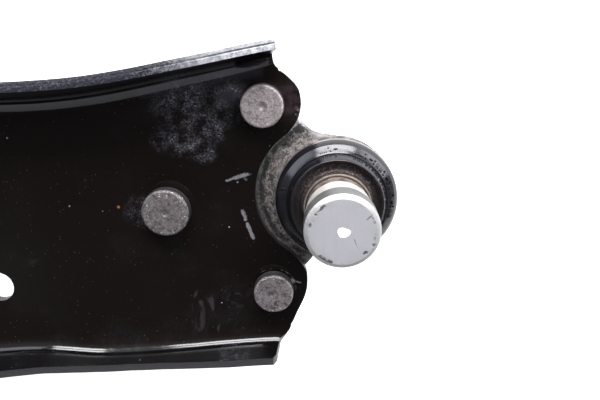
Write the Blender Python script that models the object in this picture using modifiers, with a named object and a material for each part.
# Front lower control arm, left hand, with its ball joint and two bushes.
# World axes: X outboard, Y rearward, Z up. Origin: ball joint axis at the
# flat underside of the joint housing. Lengths are written in millimetres and
# multiplied by MM; angles are in degrees.
from collections import namedtuple
from math import sin, cos, pi, radians, degrees, sqrt, acos, atan2, hypot

import bmesh
import bpy
from mathutils import Vector

MM = 0.001
GAP = 0.3                       # clearance between neighbouring pieces

# ---- pressed plate ----
SHEET = 3.0
PLATE_TOP = 30.0
PLATE_LOW = PLATE_TOP - SHEET
BEND_R = 6.0                    # inside radius of the flange bends
BEND_STEPS = 4
SPLAY = 15.0                    # flange lean from upright
LIP_BEND_R = SHEET + 2.0        # outside radius of the turned-down hole lips

# ---- rivets and the forging flange they hold under the plate ----
RIVET_REAR = (-22.4, 27.3)
RIVET_FRONT = (-19.5, -32.7)
RIVET_INNER = (-52.7, -5.4)
SHANK_R = 5.0
HOLE_R = SHANK_R + GAP
HEAD_H = 4.2
TAIL_R = 7.6
TAIL_H = 3.6
FLANGE_TOP = PLATE_LOW - GAP
FLANGE_LOW = FLANGE_TOP - 7.0

# ---- ball joint ----
BALL_Z = 15.0
BALL_R = 11.0
SHELL_IN = BALL_R + GAP
SHELL_OUT = 12.6
SHELL_TOP = 20.3
CAVITY_R = SHELL_OUT + GAP
SEAT_R = 14.5                   # retaining ring seat in the housing
SEAT_Z = (SHELL_TOP + GAP, 23.0)
CUP_TOP = 33.5
STUD_END = 67.3
STUD_R = 10.0
LAND_R = 9.1
NECK_R = 7.0
BOOT_Z = (CUP_TOP + GAP, 43.6)
BOOT_GROOVE_R = 17.7
BOOT_GROOVE_Z = (34.6, 35.7)

# ---- front bush, axis along Y ----
PIVOT_X = -320.0
PIVOT_Z = 21.0
EYE_R = 21.0
EYE_WALL = 3.0
EYE_Y = (-47.0, -3.0)
EYE_HALF = (EYE_Y[1] - EYE_Y[0]) / 2
EYE_AT = (PIVOT_X, (EYE_Y[0] + EYE_Y[1]) / 2, PIVOT_Z)
EYE_SLEEVE_IN = 16.4            # bore of the outer sleeve
SLEEVE_Y = (-53.0, 3.0)
SLEEVE_R = 11.0
BOLT_R = 6.1
ALONG_Y = (-pi / 2, 0.0, 0.0)   # turns local +Z to world +Y

# ---- rear bush, axis along Z ----
COLLAR_C = (PIVOT_X, 255.0)
COLLAR_R = 34.0
COLLAR_WALL = 3.0
COLLAR_Z = (1.0, 38.0)
COLLAR_SLEEVE_IN = 29.2         # bore of the outer sleeve
REAR_SLEEVE_R = 12.0
REAR_BOLT_R = 7.1
REAR_SLEEVE_Z = (0.0, 48.0)

# ---- welds above and below the plate ----
WELD_R = 2.6
WELD_OFF = 0.05                 # extra clearance from the eye and the collar
WELD_LEVELS = (
    ("upper", PLATE_TOP + GAP + WELD_R),
    ("lower", PLATE_LOW - GAP - WELD_R),
)

for old in list(bpy.data.objects):
    bpy.data.objects.remove(old, do_unlink=True)

arm = bpy.data.collections.new("control_arm")
cutters = bpy.data.collections.new("cutters")
bpy.context.scene.collection.children.link(arm)
bpy.context.scene.collection.children.link(cutters)
cutters.hide_render = True


# ---- materials ----
def material(name, colour, roughness, metallic):
    mat = bpy.data.materials.new(name)
    mat.use_nodes = True
    shader = mat.node_tree.nodes["Principled BSDF"]
    shader.inputs["Base Color"].default_value = (*colour, 1.0)
    shader.inputs["Roughness"].default_value = roughness
    shader.inputs["Metallic"].default_value = metallic
    mat.diffuse_color = (*colour, 1.0)
    return mat


BLACK = material("black_coat", colour=(0.012, 0.011, 0.011), roughness=0.28, metallic=0.0)
STEEL = material("forged_steel", colour=(0.38, 0.37, 0.36), roughness=0.55, metallic=0.9)
BRIGHT = material("plated_steel", colour=(0.62, 0.61, 0.63), roughness=0.32, metallic=1.0)
RIVET = material("rivet_steel", colour=(0.34, 0.31, 0.29), roughness=0.45, metallic=0.95)
RUBBER = material("rubber", colour=(0.018, 0.017, 0.018), roughness=0.62, metallic=0.0)
BOOT = material("boot_rubber", colour=(0.03, 0.028, 0.033), roughness=0.42, metallic=0.0)
RUST = material("ring_steel", colour=(0.24, 0.16, 0.11), roughness=0.6, metallic=0.85)
NYLON = material("shell_plastic", colour=(0.72, 0.69, 0.6), roughness=0.4, metallic=0.0)
WELD = material("weld_metal", colour=(0.05, 0.048, 0.047), roughness=0.45, metallic=0.4)
ALU = material("bush_metal", colour=(0.55, 0.55, 0.56), roughness=0.4, metallic=1.0)


# ---- mesh helpers ----
def place(name, mesh, mat=None):
    """Add a piece of the arm or, when it has no material, a cutter."""
    ob = bpy.data.objects.new(name, mesh)
    if mat:
        arm.objects.link(ob)
        mesh.materials.append(mat)
    else:
        cutters.objects.link(ob)
        ob.hide_render = True
    return ob


def evaluated_mesh(ob):
    bpy.context.view_layer.update()
    graph = bpy.context.evaluated_depsgraph_get()
    return bpy.data.meshes.new_from_object(ob.evaluated_get(graph))


def settle(ob):
    """Replace the object's mesh by its evaluated one and drop its modifiers."""
    mesh = evaluated_mesh(ob)
    ob.modifiers.clear()
    ob.data = mesh


def tidy(mesh, dist=0.00001):
    bm = bmesh.new()
    bm.from_mesh(mesh)
    bmesh.ops.remove_doubles(bm, verts=bm.verts, dist=dist)
    bmesh.ops.recalc_face_normals(bm, faces=bm.faces)
    bm.to_mesh(mesh)
    bm.free()


def smooth(ob, angle=32.0):
    ob.data.shade_smooth()
    ob.data.set_sharp_from_angle(angle=radians(angle))


def lathe(name, profile, steps=36, mat=None, closed=False, turn=None, at=(0, 0, 0)):
    """Solid turned about local Z: the profile (radius, height) runs down the outer side."""
    mesh = bpy.data.meshes.new(name)
    points = [(r * MM, 0.0, z * MM) for r, z in profile]
    edges = [(i, i + 1) for i in range(len(points) - 1)]
    if closed:
        edges.append((len(points) - 1, 0))
    mesh.from_pydata(points, edges, [])
    ob = place(name, mesh, mat)
    screw = ob.modifiers.new("turn", "SCREW")
    screw.axis = "Z"
    screw.angle = 2 * pi
    screw.steps = steps
    screw.render_steps = steps
    screw.use_merge_vertices = True
    screw.merge_threshold = 0.00001
    screw.use_smooth_shade = True
    settle(ob)
    tidy(ob.data)
    if turn:
        ob.rotation_euler = turn
    ob.location = [c * MM for c in at]
    smooth(ob)
    return ob


def tube(name, r_out, r_in, half, mat, at, turn=None, ease=0.5, steps=36):
    """Tube of a given half length about its middle, its edges chamfered by ease."""
    profile = [
        (r_out - ease, half), (r_out, half - ease), (r_out, -half + ease), (r_out - ease, -half),
        (r_in + ease, -half), (r_in, -half + ease), (r_in, half - ease), (r_in + ease, half),
    ]
    lathe(name, profile, steps, mat, closed=True, at=at, turn=turn)


def curve_mesh(name, points, cyclic, **settings):
    """Mesh of a straight-sided curve through the points, with the given curve settings."""
    curve = bpy.data.curves.new(name, "CURVE")
    for key, value in settings.items():
        setattr(curve, key, value)
    line = curve.splines.new("POLY")
    line.points.add(len(points) - 1)
    for point, (x, y, z) in zip(line.points, points):
        point.co = (x * MM, y * MM, z * MM, 1.0)
    line.use_cyclic_u = cyclic
    sketch = bpy.data.objects.new(name + "_sketch", curve)
    cutters.objects.link(sketch)
    mesh = evaluated_mesh(sketch)
    bpy.data.objects.remove(sketch, do_unlink=True)
    mesh.materials.clear()
    return mesh


def prism(name, outline, z0, z1):
    """Cutter: flat outline extruded between two heights."""
    mesh = curve_mesh(
        name, [(x, y, 0.0) for x, y in outline], cyclic=True,
        dimensions="2D", fill_mode="BOTH", extrude=(z1 - z0) / 2 * MM,
    )
    for v in mesh.vertices:
        v.co.z += (z0 + z1) / 2 * MM
    tidy(mesh)
    return place(name, mesh)


def weld_bead(name, path):
    """Round rod along a path of points, with closed ends."""
    mesh = curve_mesh(
        name, path, cyclic=False,
        dimensions="3D", bevel_depth=WELD_R * MM, bevel_resolution=3, use_fill_caps=True,
    )
    tidy(mesh)
    smooth(place(name, mesh, WELD), 50)


def combine(ob, other, how):
    mod = ob.modifiers.new(how.lower(), "BOOLEAN")
    mod.operation = how
    mod.solver = "EXACT"
    mod.object = other
    settle(ob)


def finish_cut(ob, mat):
    """Clean up after booleans, leaving the one material."""
    ob.data.materials.clear()
    ob.data.materials.append(mat)
    tidy(ob.data, 0.000002)
    smooth(ob, 30)


# ---- plane geometry ----
def arc(centre, r, start, end, steps):
    angles = [radians(start + (end - start) * i / steps) for i in range(steps + 1)]
    return [(centre[0] + r * cos(a), centre[1] + r * sin(a)) for a in angles]


def ball_arc(r, start, end, steps):
    """Profile points about the ball centre, angles up from level."""
    return [(max(0.0, x), z) for x, z in arc((0.0, BALL_Z), r, start, end, steps)]


def spline(keys, spacing):
    """Smooth curve through the key points, sampled at about the spacing."""
    points = []
    for i in range(len(keys) - 1):
        start, end = Vector(keys[i]), Vector(keys[i + 1])
        before = Vector(keys[i - 1]) if i else start * 2 - end
        after = Vector(keys[i + 2]) if i + 2 < len(keys) else end * 2 - start
        leave, arrive = (end - before) / 2, (after - start) / 2
        count = max(2, round((end - start).length / spacing))
        for j in range(count):
            t = j / count
            points.append(tuple(
                start * (2 * t**3 - 3 * t * t + 1) + leave * (t**3 - 2 * t * t + t)
                + end * (3 * t * t - 2 * t**3) + arrive * (t**3 - t * t)
            ))
    points.append(tuple(keys[-1]))
    return points


def level(table, t):
    """Straight-line reading of a table of (place, value) in rising order of place."""
    if t <= table[0][0]:
        return table[0][1]
    for (t0, v0), (t1, v1) in zip(table, table[1:]):
        if t <= t1:
            return v0 + (v1 - v0) * (t - t0) / (t1 - t0)
    return table[-1][1]


def distances(points):
    """Distance of each point along the line through them."""
    total = [0.0]
    for a, b in zip(points, points[1:]):
        total.append(total[-1] + hypot(b[0] - a[0], b[1] - a[1]))
    return total


# ---- pressed arm plate: measured shape ----
# (x, y) where the flat meets the front flange bend, running outboard
FRONT_BEND = [
    (-291.0, -44.0), (-262.0, -47.4), (-220.0, -50.8), (-170.0, -52.0), (-125.0, -50.3),
    (-99.8, -48.6), (-88.9, -49.0), (-78.1, -49.8), (-67.4, -49.5), (-56.6, -48.7),
    (-45.8, -47.7), (-35.1, -46.6), (-24.4, -45.8), (-13.9, -45.5),
]
# (x, rise above the sheet) of the front flange
FRONT_RISE = [
    (-291.0, 9.0), (-250.0, 12.0), (-170.0, 12.0), (-125.0, 11.2), (-99.8, 9.7), (-88.9, 8.5),
    (-78.1, 7.1), (-67.4, 6.8), (-56.6, 7.2), (-45.8, 8.0), (-35.1, 8.8), (-13.9, 8.8),
]
FRONT_END_DROP = 1.2            # taken off the rise at the outboard end
# (x, y) of the rear flange bend, running inboard; it goes on to the rear collar
REAR_BEND = [
    (-17.2, 37.6), (-40.7, 32.4), (-72.0, 26.2), (-100.0, 24.0), (-130.0, 25.5),
    (-160.0, 32.0), (-188.0, 46.0), (-211.0, 68.0), (-228.0, 96.0), (-241.0, 128.0),
    (-254.0, 164.0), (-268.0, 202.0),
]
# (distance along the rear bend, lean from upright)
REAR_LEAN = [(0.0, 7.3), (20.0, 9.0), (40.0, 10.6), (68.0, 14.6), (80.0, SPLAY)]
# (x, y) of the inboard flange bend, running forward from the rear collar
INBOARD_BEND = [
    (-334.5, 204.0), (-322.0, 166.0), (-312.0, 124.0), (-304.5, 80.0), (-299.0, 42.0),
    (-296.5, 14.0),
]
# (height above the sheet, x) of each flange's outboard end edge
FRONT_END = [(0.0, -13.9), (1.8, -17.6), (4.4, -18.2), (9.0, -18.8)]
REAR_END = [(0.0, -17.2), (1.8, -18.9), (5.2, -18.4), (11.0, -17.6)]
END_FADE = 14.0                 # distance over which the end edge shape dies out
# (x, y) of the front outboard corner, from the front flange to the round cut-out
NOSE = [
    (-13.1, -44.0), (-11.7, -40.6), (-9.8, -36.4), (-8.8, -33.0), (-8.5, -29.6),
    (-8.8, -26.6), (-9.8, -24.5), (-11.9, -21.9),
]
# round cut-out about the joint, and the points that set where it starts and ends
CUT_C = (-2.4, -0.3)
CUT_R = 22.6
CUT_FROM = (-14.6, -19.4)
CUT_TO = (-14.9, 18.7)
# rounded ear at the rear rivet
EAR_C = (-22.4, 28.0)
EAR_R = 11.8
COLLAR_EDGE_GAP = 0.35          # plate edge to rear collar
EYE_EDGE_GAP = 0.4              # plate edge to front eye tube
# x, y, radius, straight depth of the turned-down lip (0 = plain hole)
HOLES = [
    (*RIVET_REAR, HOLE_R, 0.0),
    (*RIVET_FRONT, HOLE_R, 0.0),
    (*RIVET_INNER, HOLE_R, 0.0),
    (-148.0, -13.0, 22.0, 3.0),
    (-243.0, 26.0, 27.0, 3.0),
    (-277.0, 128.0, 17.0, 3.0),
    (-196.0, -24.0, 6.0, 0.0),
    (-110.0, -32.0, 5.0, 0.0),
    (-297.0, 188.0, 5.0, 0.0),
    (-272.0, 78.0, 6.0, 0.0),
]

# A stretch of the outline. Flanged ones have a rise and a lean at each point;
# end is (index of the end point, its end edge table).
Stretch = namedtuple("Stretch", "points rises leans end", defaults=(None, None, None))


def rises_along(points, first, middle, last, ramps):
    """Flange rise along a bend, eased from each end's value over its ramp length."""
    total = distances(points)
    rises = []
    for run in total:
        a = min(1.0, run / ramps[0])
        b = min(1.0, (total[-1] - run) / ramps[1])
        a, b = a * a * (3 - 2 * a), b * b * (3 - 2 * b)
        rises.append(min(first + (middle - first) * a, last + (middle - last) * b))
    return rises


def cut_angle(point):
    return degrees(atan2(point[1] - CUT_C[1], point[0] - CUT_C[0])) % 360


def plate_outline():
    """Edge of the flat area, anticlockwise from above, in stretches."""
    ring = arc(COLLAR_C, COLLAR_R + COLLAR_EDGE_GAP, -22.0, -138.0, 24)
    front = spline(FRONT_BEND, 8.0)
    rear = spline(REAR_BEND + [ring[0]], 12.0)
    inboard = spline([ring[-1]] + INBOARD_BEND, 14.0)
    front_rises = [level(FRONT_RISE, x) for x, y in front]
    front_rises[-1] -= FRONT_END_DROP
    rear_rises = rises_along(rear, first=11.0, middle=15.0, last=9.0, ramps=(130.0, 60.0))
    rear_leans = [level(REAR_LEAN, run) for run in distances(rear)]
    inboard_rises = rises_along(inboard, first=8.0, middle=13.0, last=8.0, ramps=(50.0, 50.0))
    cut = arc(CUT_C, CUT_R, cut_angle(CUT_FROM), cut_angle(CUT_TO), 26)
    ear = arc(EAR_C, EAR_R, -42.0, 60.0, 14)
    eye_x = PIVOT_X + sqrt(EYE_R**2 - (PLATE_LOW - PIVOT_Z) ** 2) + EYE_EDGE_GAP
    eye_edge = [
        (-298.2, 2.0), (eye_x, EYE_Y[1] - 1.0), (eye_x, EYE_Y[1] - 12.0),
        (eye_x, EYE_Y[0] + 12.0), (eye_x, EYE_Y[0] + 4.0),
    ]
    return [
        Stretch(front, front_rises, [SPLAY] * len(front), (-1, FRONT_END)),
        Stretch(spline(NOSE, 2.4) + cut + ear),
        Stretch(rear, rear_rises, rear_leans, (0, REAR_END)),
        Stretch(ring[1:-1]),
        Stretch(inboard, inboard_rises, [SPLAY] * len(inboard)),
        Stretch(eye_edge),
    ]


def loop_edges(bm, verts):
    return [bm.edges.new(pair) for pair in zip(verts, verts[1:] + verts[:1])]


def circle_verts(bm, x, y, r, z, count):
    angles = [2 * pi * i / count for i in range(count)]
    return [bm.verts.new(((x + r * cos(a)) * MM, (y + r * sin(a)) * MM, z * MM)) for a in angles]


def bend_section(r, turn, steps):
    """(offset, height) points of a bend leaving the flat."""
    angles = [turn * k / steps for k in range(1, steps + 1)]
    return [(r * sin(a), r * (1 - cos(a))) for a in angles]


def fold_flange(bm, stretch, verts):
    """Raise a flange from one stretch of the outline."""
    points, end = stretch.points, stretch.end
    total = distances(points)
    columns = []
    for i, (point, rise, lean) in enumerate(zip(points, stretch.rises, stretch.leans)):
        a, b = points[max(0, i - 1)], points[min(len(points) - 1, i + 1)]
        along = Vector((b[0] - a[0], b[1] - a[1])).normalized()
        outward = Vector((along.y, -along.x))
        turn = radians(90.0 - lean)
        section = bend_section(BEND_R, turn, BEND_STEPS)
        off, up = section[-1]
        wall = (rise + SHEET * cos(turn) - up) / sin(turn)
        section.append((off + wall * cos(turn), up + wall * sin(turn)))
        column = [verts[i]]
        for off, up in section:
            spot = Vector(point) + outward * off
            if end:
                index, edge_table = end
                fade = max(0.0, 1.0 - abs(total[index] - total[i]) / END_FADE) ** 2
                spot.x += (level(edge_table, up) - (points[index][0] + outward.x * off)) * fade
            column.append(bm.verts.new((spot.x * MM, spot.y * MM, (PLATE_TOP + up) * MM)))
        columns.append(column)
    for c0, c1 in zip(columns, columns[1:]):
        for k in range(len(c0) - 1):
            bm.faces.new((c0[k], c0[k + 1], c1[k + 1], c1[k]))


def turn_lip(bm, ring, x, y, r, depth):
    """Turn the edge of a hole down and inward."""
    section = bend_section(LIP_BEND_R, radians(90.0), 4)
    section.append((LIP_BEND_R, LIP_BEND_R + depth))
    count = len(ring)
    rows = [ring]
    for off, down in section:
        rows.append(circle_verts(bm, x, y, r - off, PLATE_TOP - down, count))
    for r0, r1 in zip(rows, rows[1:]):
        for i in range(count):
            j = (i + 1) % count
            bm.faces.new((r0[i], r0[j], r1[j], r1[i]))


def build_plate():
    bm = bmesh.new()
    outline, flanges, lips = [], [], []
    for stretch in plate_outline():
        verts = [bm.verts.new((x * MM, y * MM, PLATE_TOP * MM)) for x, y in stretch.points]
        if stretch.rises:
            flanges.append((stretch, verts))
        outline += verts
    edges = loop_edges(bm, outline)
    for x, y, r, depth in HOLES:
        ring = circle_verts(bm, x, y, r, PLATE_TOP, 32 if r > 10 else 20)
        edges += loop_edges(bm, ring)
        if depth:
            lips.append((ring, x, y, r, depth))
    bmesh.ops.triangle_fill(bm, use_beauty=True, use_dissolve=False, edges=edges)
    for face in bm.faces:
        face.normal_update()
        if face.normal.z < 0:
            face.normal_flip()
    for stretch, verts in flanges:
        fold_flange(bm, stretch, verts)
    for lip in lips:
        turn_lip(bm, *lip)
    # the flat must face up, so that the sheet thickens downward
    bmesh.ops.recalc_face_normals(bm, faces=bm.faces)
    bm.faces.ensure_lookup_table()
    flat = max(bm.faces, key=lambda face: face.calc_area())
    if flat.normal.z < 0:
        bmesh.ops.reverse_faces(bm, faces=bm.faces)
    mesh = bpy.data.meshes.new("arm_plate")
    bm.to_mesh(mesh)
    bm.free()
    ob = place("arm_plate", mesh, BLACK)
    solidify = ob.modifiers.new("sheet", "SOLIDIFY")
    solidify.thickness = SHEET * MM
    solidify.offset = -1.0
    solidify.use_even_offset = True
    solidify.use_quality_normals = True
    settle(ob)
    tidy(ob.data)
    smooth(ob, 30)


# ---- rivets ----
def build_rivet(name, centre, head_r):
    """Flat head above the plate, shank, domed tail below the forging flange."""
    seat = PLATE_TOP + GAP
    low = FLANGE_LOW - GAP
    top = seat + HEAD_H
    head = [
        (0.0, top - 0.55), (0.9, top - 0.45), (1.6, top), (head_r - 0.55, top),
        (head_r - 0.1, top - 0.35), (head_r, top - 1.0), (head_r + 0.05, seat + 0.9),
        (head_r + 0.2, seat + 0.5), (head_r + 0.2, seat),
    ]
    shank = [(SHANK_R, seat), (SHANK_R, low)]
    tail = [
        (TAIL_R * cos(radians(a)) ** 0.8, low - TAIL_H * sin(radians(a)))
        for a in (12, 28, 45, 62, 78)
    ]
    profile = head + shank + [(TAIL_R, low)] + tail + [(0.0, low - TAIL_H)]
    lathe(name, profile, 24, RIVET, at=(*centre, 0.0))


# ---- ball joint housing ----
# (radius, z) of the outside of the cup, from the rim down
CUP_OUTSIDE = [
    (18.0, CUP_TOP), (18.25, 33.1), (18.25, 29.8), (17.4, 27.0), (16.5, 23.0), (15.9, 20.0),
    (15.25, 15.0), (14.35, 10.0), (13.2, 5.0), (12.6, 2.8), (11.4, 1.1), (9.6, 0.15),
    (9.0, 0.0), (0.0, 0.0),
]
# (x, y) of the hollow curves from the cup to the rear boss, and front boss to cup
WEB_REAR = [
    (3.5, 14.5), (2.0, 16.0), (0.4, 16.8), (-1.5, 16.95), (-3.4, 17.1), (-5.3, 17.5),
    (-7.2, 18.35), (-8.4, 19.25), (-9.7, 20.5), (-11.0, 22.1), (-12.0, 24.2),
]
WEB_FRONT = [
    (-9.7, -26.2), (-8.3, -24.8), (-7.0, -23.2), (-5.9, -21.4), (-4.6, -19.8), (-3.0, -18.4),
    (-1.0, -17.4), (1.0, -16.7), (2.8, -15.8), (4.0, -14.4),
]
BOSS_R = 9.8                    # front and rear rivet bosses
INNER_BOSS_R = 10.6
# (radius, z) of the space above the flange, sloping up to the cup
ABOVE_FLANGE = [
    (90.0, 60.0), (90.0, FLANGE_TOP), (22.6, FLANGE_TOP), (20.6, 27.5), (19.3, 29.0),
    (18.5, 31.0), (17.5, 33.2), (17.5, 60.0),
]
# (radius, z) of the space cleared from the flange inside the cup
CUP_HOLLOW = [
    (0.0, 40.0), (17.0, 40.0), (16.7, 33.0), (15.7, 27.0), (15.4, 23.0), (15.0, 19.0),
    (0.0, 19.0),
]


def tangent_angle(c1, r1, c2, r2):
    """Direction of the contact points of the outer tangent to two circles."""
    dx, dy = c2[0] - c1[0], c2[1] - c1[1]
    return (degrees(atan2(dy, dx)) - degrees(acos((r1 - r2) / hypot(dx, dy)))) % 360


def web_outline():
    """Flange under the sheet: a boss at each rivet, hollow curves running into the cup."""
    to_inner = tangent_angle(RIVET_REAR, BOSS_R, RIVET_INNER, INNER_BOSS_R)
    to_front = tangent_angle(RIVET_INNER, INNER_BOSS_R, RIVET_FRONT, BOSS_R)
    return (
        WEB_REAR
        + arc(RIVET_REAR, BOSS_R, -8.0, to_inner, 14)
        + arc(RIVET_INNER, INNER_BOSS_R, to_inner, to_front, 10)
        + arc(RIVET_FRONT, BOSS_R, to_front, 390.0, 14)
        + WEB_FRONT
    )


def build_housing():
    inside = ball_arc(CAVITY_R, -90.0, 0.0, 9) + [
        (CAVITY_R, SEAT_Z[0]), (SEAT_R, SEAT_Z[0]), (SEAT_R, SEAT_Z[1]), (13.4, 23.2),
        (13.4, 24.3), (15.4, CUP_TOP),
    ]
    housing = lathe("ball_joint_housing", inside + CUP_OUTSIDE, 40, STEEL)
    web = prism("flange_web", web_outline(), FLANGE_LOW, 32.0)
    combine(web, lathe("above_flange", ABOVE_FLANGE, 40, closed=True), "DIFFERENCE")
    combine(web, lathe("cup_hollow", CUP_HOLLOW, 40), "DIFFERENCE")
    combine(housing, web, "UNION")
    drill_profile = [(0.0, 50.0), (HOLE_R, 50.0), (HOLE_R, 5.0), (0.0, 5.0)]
    for centre in (RIVET_REAR, RIVET_FRONT, RIVET_INNER):
        drill = lathe("drill", drill_profile, 32, at=(*centre, 0.0))
        combine(housing, drill, "DIFFERENCE")
    finish_cut(housing, STEEL)


# ---- inside the joint ----
def build_bearing_shell():
    rise = SHELL_TOP - BALL_Z
    rim_angle = degrees(atan2(rise, sqrt(SHELL_IN**2 - rise**2)))
    profile = ball_arc(SHELL_IN, -90.0, rim_angle, 10)
    profile += [(SHELL_OUT, SHELL_TOP), (SHELL_OUT, 17.5)]
    profile += ball_arc(SHELL_OUT, 0.0, -90.0, 7)
    lathe("bearing_shell", profile, 32, NYLON)


def build_retaining_ring():
    r_out = SEAT_R - GAP
    low, high = SEAT_Z[0] + GAP, SEAT_Z[1] - GAP
    profile = [(r_out, high), (r_out, low), (10.9, low), (11.4, high)]
    lathe("retaining_ring", profile, 36, BRIGHT, closed=True)


def build_stud():
    top = [
        (0.0, STUD_END), (8.75, STUD_END), (9.45, STUD_END - 0.3), (STUD_R, STUD_END - 1.0),
        (STUD_R, 60.4),
    ]
    groove = [
        (STUD_R - 2.5 * sin(pi * i / 8) - 0.6 * i / 8, 59.8 - 8.2 * i / 8) for i in range(9)
    ]
    neck = [
        (LAND_R, 51.0), (LAND_R, 46.0), (LAND_R, 41.0), (8.6, 38.5), (7.6, 33.0), (7.1, 28.0),
        (NECK_R, 25.0),
    ]
    neck_angle = degrees(acos(NECK_R / BALL_R))
    ball = ball_arc(BALL_R, neck_angle, -90.0, 11)
    lathe("ball_stud", top + groove + neck + ball, 36, BRIGHT)


# ---- dust boot and its rings ----
# (radius, z): down the outside from the top lip, then up the inside
BOOT_PROFILE = [
    (10.5, BOOT_Z[1]), (10.6, 42.5), (11.1, 41.8), (12.0, 41.7), (12.6, 42.4), (13.1, 43.7),
    (13.45, 44.0), (13.8, 43.6), (14.3, 42.3), (14.75, 41.4), (15.1, 41.5), (16.3, 40.5),
    (17.3, 39.6), (18.0, 38.7), (18.35, 37.8), (18.4, 36.9), (18.4, 35.9),
    (BOOT_GROOVE_R, BOOT_GROOVE_Z[1]), (BOOT_GROOVE_R, BOOT_GROOVE_Z[0]), (18.15, 34.4),
    (18.0, BOOT_Z[0]), (16.0, BOOT_Z[0]), (16.3, 35.5), (16.6, 36.9), (16.2, 38.3),
    (15.2, 39.4), (14.2, 40.0), (13.6, 40.9), (13.2, 42.0), (12.9, 41.2), (12.2, 40.3),
    (11.0, 40.2), (10.1, 40.6), (9.5, 41.4), (9.5, BOOT_Z[1]),
]


def build_boot():
    lathe("dust_boot", BOOT_PROFILE, 36, BOOT, closed=True)
    r_in, r_out = BOOT_GROOVE_R + GAP, 18.35
    low, high = BOOT_GROOVE_Z[0] + GAP, BOOT_GROOVE_Z[1] - GAP
    lower = [(r_out, high), (r_out, low), (r_in, low), (r_in, high)]
    lathe("boot_lower_ring", lower, 40, RUST, closed=True)
    upper = [(9.9, 45.8), (9.95, 44.1), (9.35, BOOT_Z[1] + GAP), (9.35, 45.8)]
    lathe("boot_upper_ring", upper, 40, RUST, closed=True)


# ---- front bush ----
def build_front_bush():
    bore = EYE_R - EYE_WALL
    tube("front_eye_tube", EYE_R, bore, EYE_HALF, BLACK, EYE_AT, ALONG_Y, steps=40)
    tube("front_bush_outer_sleeve", bore - GAP, EYE_SLEEVE_IN, EYE_HALF + 1.0, ALU,
         EYE_AT, ALONG_Y, ease=0.3)
    half = EYE_HALF + 2.4
    r_out, r_in = EYE_SLEEVE_IN - GAP, SLEEVE_R + GAP
    rubber = [
        (13.0, half), (15.2, half - 0.6), (r_out, half - 2.2), (r_out, half - 6.0),
        (r_out, 0.0), (r_out, -half + 6.0), (r_out, -half + 2.2), (15.2, -half + 0.6),
        (13.0, -half), (r_in, -half + 1.4), (r_in, 0.0), (r_in, half - 1.4),
    ]
    lathe("front_bush_rubber", rubber, 32, RUBBER, closed=True, at=EYE_AT, turn=ALONG_Y)
    tube("front_bush_inner_sleeve", SLEEVE_R, BOLT_R, (SLEEVE_Y[1] - SLEEVE_Y[0]) / 2, ALU,
         EYE_AT, ALONG_Y, ease=0.6)


def build_front_welds():
    reach = EYE_R + GAP + WELD_R
    start = EYE_Y[0] + 5.0
    length = EYE_Y[1] - EYE_Y[0] - 10.0
    for tag, z in WELD_LEVELS:
        x = PIVOT_X + sqrt(reach**2 - (z - PIVOT_Z) ** 2) + WELD_OFF
        weld_bead("front_weld_" + tag, [(x, start + i * length / 6, z) for i in range(7)])


# ---- rear bush ----
def kidney_outline(middle):
    """Kidney-shaped pocket centred on an angle about the bush axis."""
    r_in, r_out = 17.4, 25.0
    r_mid, r_end = (r_in + r_out) / 2, (r_out - r_in) / 2
    a0, a1 = middle - 40.0, middle + 40.0
    first, last = (arc(COLLAR_C, r_mid, a, a, 1)[0] for a in (a0, a1))
    return (
        arc(COLLAR_C, r_out, a0, a1, 16)
        + arc(last, r_end, a1, a1 + 180.0, 8)[1:-1]
        + arc(COLLAR_C, r_in, a1, a0, 14)
        + arc(first, r_end, a0 - 180.0, a0, 8)[1:-1]
    )


def build_rear_rubber():
    r_out, r_in = COLLAR_SLEEVE_IN - GAP, REAR_SLEEVE_R + GAP
    profile = [
        (24.0, 37.0), (27.6, 36.4), (r_out, 35.0), (r_out, 20.0), (r_out, 6.0), (27.6, 4.8),
        (24.0, 4.2), (16.0, 4.4), (r_in, 5.6), (r_in, 20.0), (r_in, 40.0), (13.6, 41.0),
        (16.0, 38.4),
    ]
    rubber = lathe("rear_bush_rubber", profile, 40, RUBBER, closed=True, at=(*COLLAR_C, 0.0))
    for middle in (0.0, 180.0):
        combine(rubber, prism("kidney", kidney_outline(middle), -5.0, 60.0), "DIFFERENCE")
    finish_cut(rubber, RUBBER)


def build_rear_bush():
    bore = COLLAR_R - COLLAR_WALL
    low, high = COLLAR_Z
    tube("rear_eye_collar", COLLAR_R, bore, (high - low) / 2, BLACK,
         (*COLLAR_C, (low + high) / 2), steps=48)
    body_r, lip_low = bore - GAP, high + GAP
    outer = [
        (32.6, 39.9), (33.0, 39.5), (33.0, 38.7), (32.6, lip_low), (body_r, lip_low),
        (body_r, 3.0), (COLLAR_SLEEVE_IN, 3.0), (COLLAR_SLEEVE_IN, 39.9),
    ]
    lathe("rear_bush_outer_sleeve", outer, 48, ALU, closed=True, at=(*COLLAR_C, 0.0))
    build_rear_rubber()
    low, high = REAR_SLEEVE_Z
    tube("rear_bush_inner_sleeve", REAR_SLEEVE_R, REAR_BOLT_R, (high - low) / 2, ALU,
         (*COLLAR_C, (low + high) / 2), ease=0.6)


def build_rear_welds():
    path = arc(COLLAR_C, COLLAR_R + GAP + WELD_R + WELD_OFF, -30.0, -130.0, 20)
    for tag, z in WELD_LEVELS:
        weld_bead("rear_weld_" + tag, [(x, y, z) for x, y in path])


build_plate()
build_rivet("rivet_rear", RIVET_REAR, head_r=6.7)
build_rivet("rivet_front", RIVET_FRONT, head_r=6.35)
build_rivet("rivet_inner", RIVET_INNER, head_r=7.35)
build_housing()
build_bearing_shell()
build_retaining_ring()
build_stud()
build_boot()
build_front_bush()
build_front_welds()
build_rear_bush()
build_rear_welds()

for cutter in list(cutters.objects):
    bpy.data.objects.remove(cutter, do_unlink=True)
